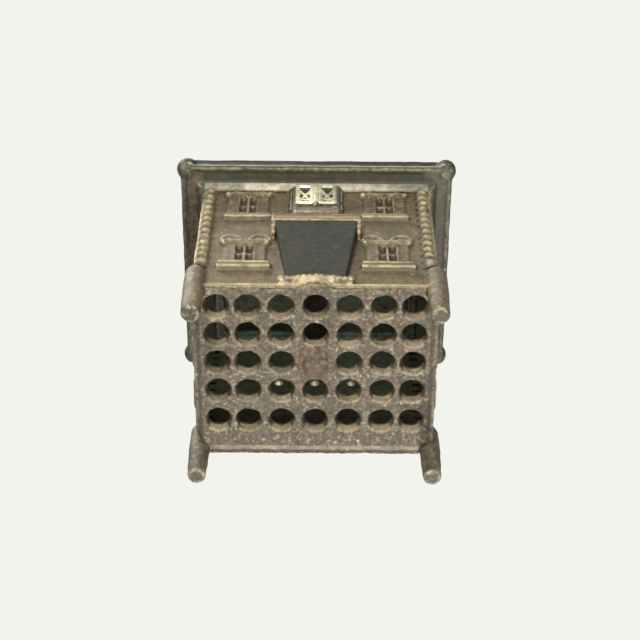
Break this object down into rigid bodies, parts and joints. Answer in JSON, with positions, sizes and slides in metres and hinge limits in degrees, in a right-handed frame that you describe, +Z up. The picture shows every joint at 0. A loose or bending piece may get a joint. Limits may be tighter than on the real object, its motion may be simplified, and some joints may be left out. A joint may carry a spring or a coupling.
{
  "type": "cast iron still bank",
  "caption": "House-shaped cast iron coin bank on four legs, with a wide cornice, a bay window over a balcony, and a perforated base plate held by a screw.",
  "frame": {"origin": "on the ground, under the middle of the house, midway between its walls", "axes": "+Z up, -Y towards the front wall with the balcony, +X to the right as seen from the front"},
  "size_m": [0.1136, 0.0966, 0.1489],
  "materials": {
    "iron_front": "worn brown lacquer over rough iron",
    "iron_walls": "worn brown lacquer over rough iron",
    "iron_dark": "smooth dark lacquer",
    "iron_gilt": "pale worn gilding over iron",
    "iron_base": "rough cast, thin rust",
    "iron_rust": "rusted",
    "iron_cornice": "dark lacquer, rubbed at the edges",
    "iron_roof": "dark lacquer, rubbed at the edges"
  },
  "bodies": {
    "house": {"front_wall": "iron_front", "back_wall": "iron_walls", "left_wall": "iron_walls", "right_wall": "iron_walls", "corbel": "iron_dark", "balcony": "iron_front", "bay_window": "iron_gilt", "tie_post": "iron_roof", "cornice": "iron_cornice", "mansard_roof": "iron_roof", "roof_deck": "iron_roof"},
    "plate": {"base_plate": "iron_base"},
    "washer": {"screw_washer": "iron_rust"},
    "screw": {"base_screw": "iron_rust"}
  },
  "joints": [
    {"name": "plate_off", "type": "slide", "parent": "house", "child": "plate", "axis": [0, 0, -1], "range_m": [0, 0.06]},
    {"name": "screw_out", "type": "slide", "parent": "plate", "child": "washer", "axis": [0, 0, -1], "range_m": [0, 0.0152]},
    {"name": "screw_turn", "type": "hinge", "parent": "washer", "child": "screw", "pos_m": [0, -0.0049, 0.0154], "axis": [0, 0, -1], "range_deg": [0, 4309]}
  ],
  "couplings": [
    {"joint": "screw_turn", "follows": "screw_out", "rad_per_m": 4947.4}
  ]
}
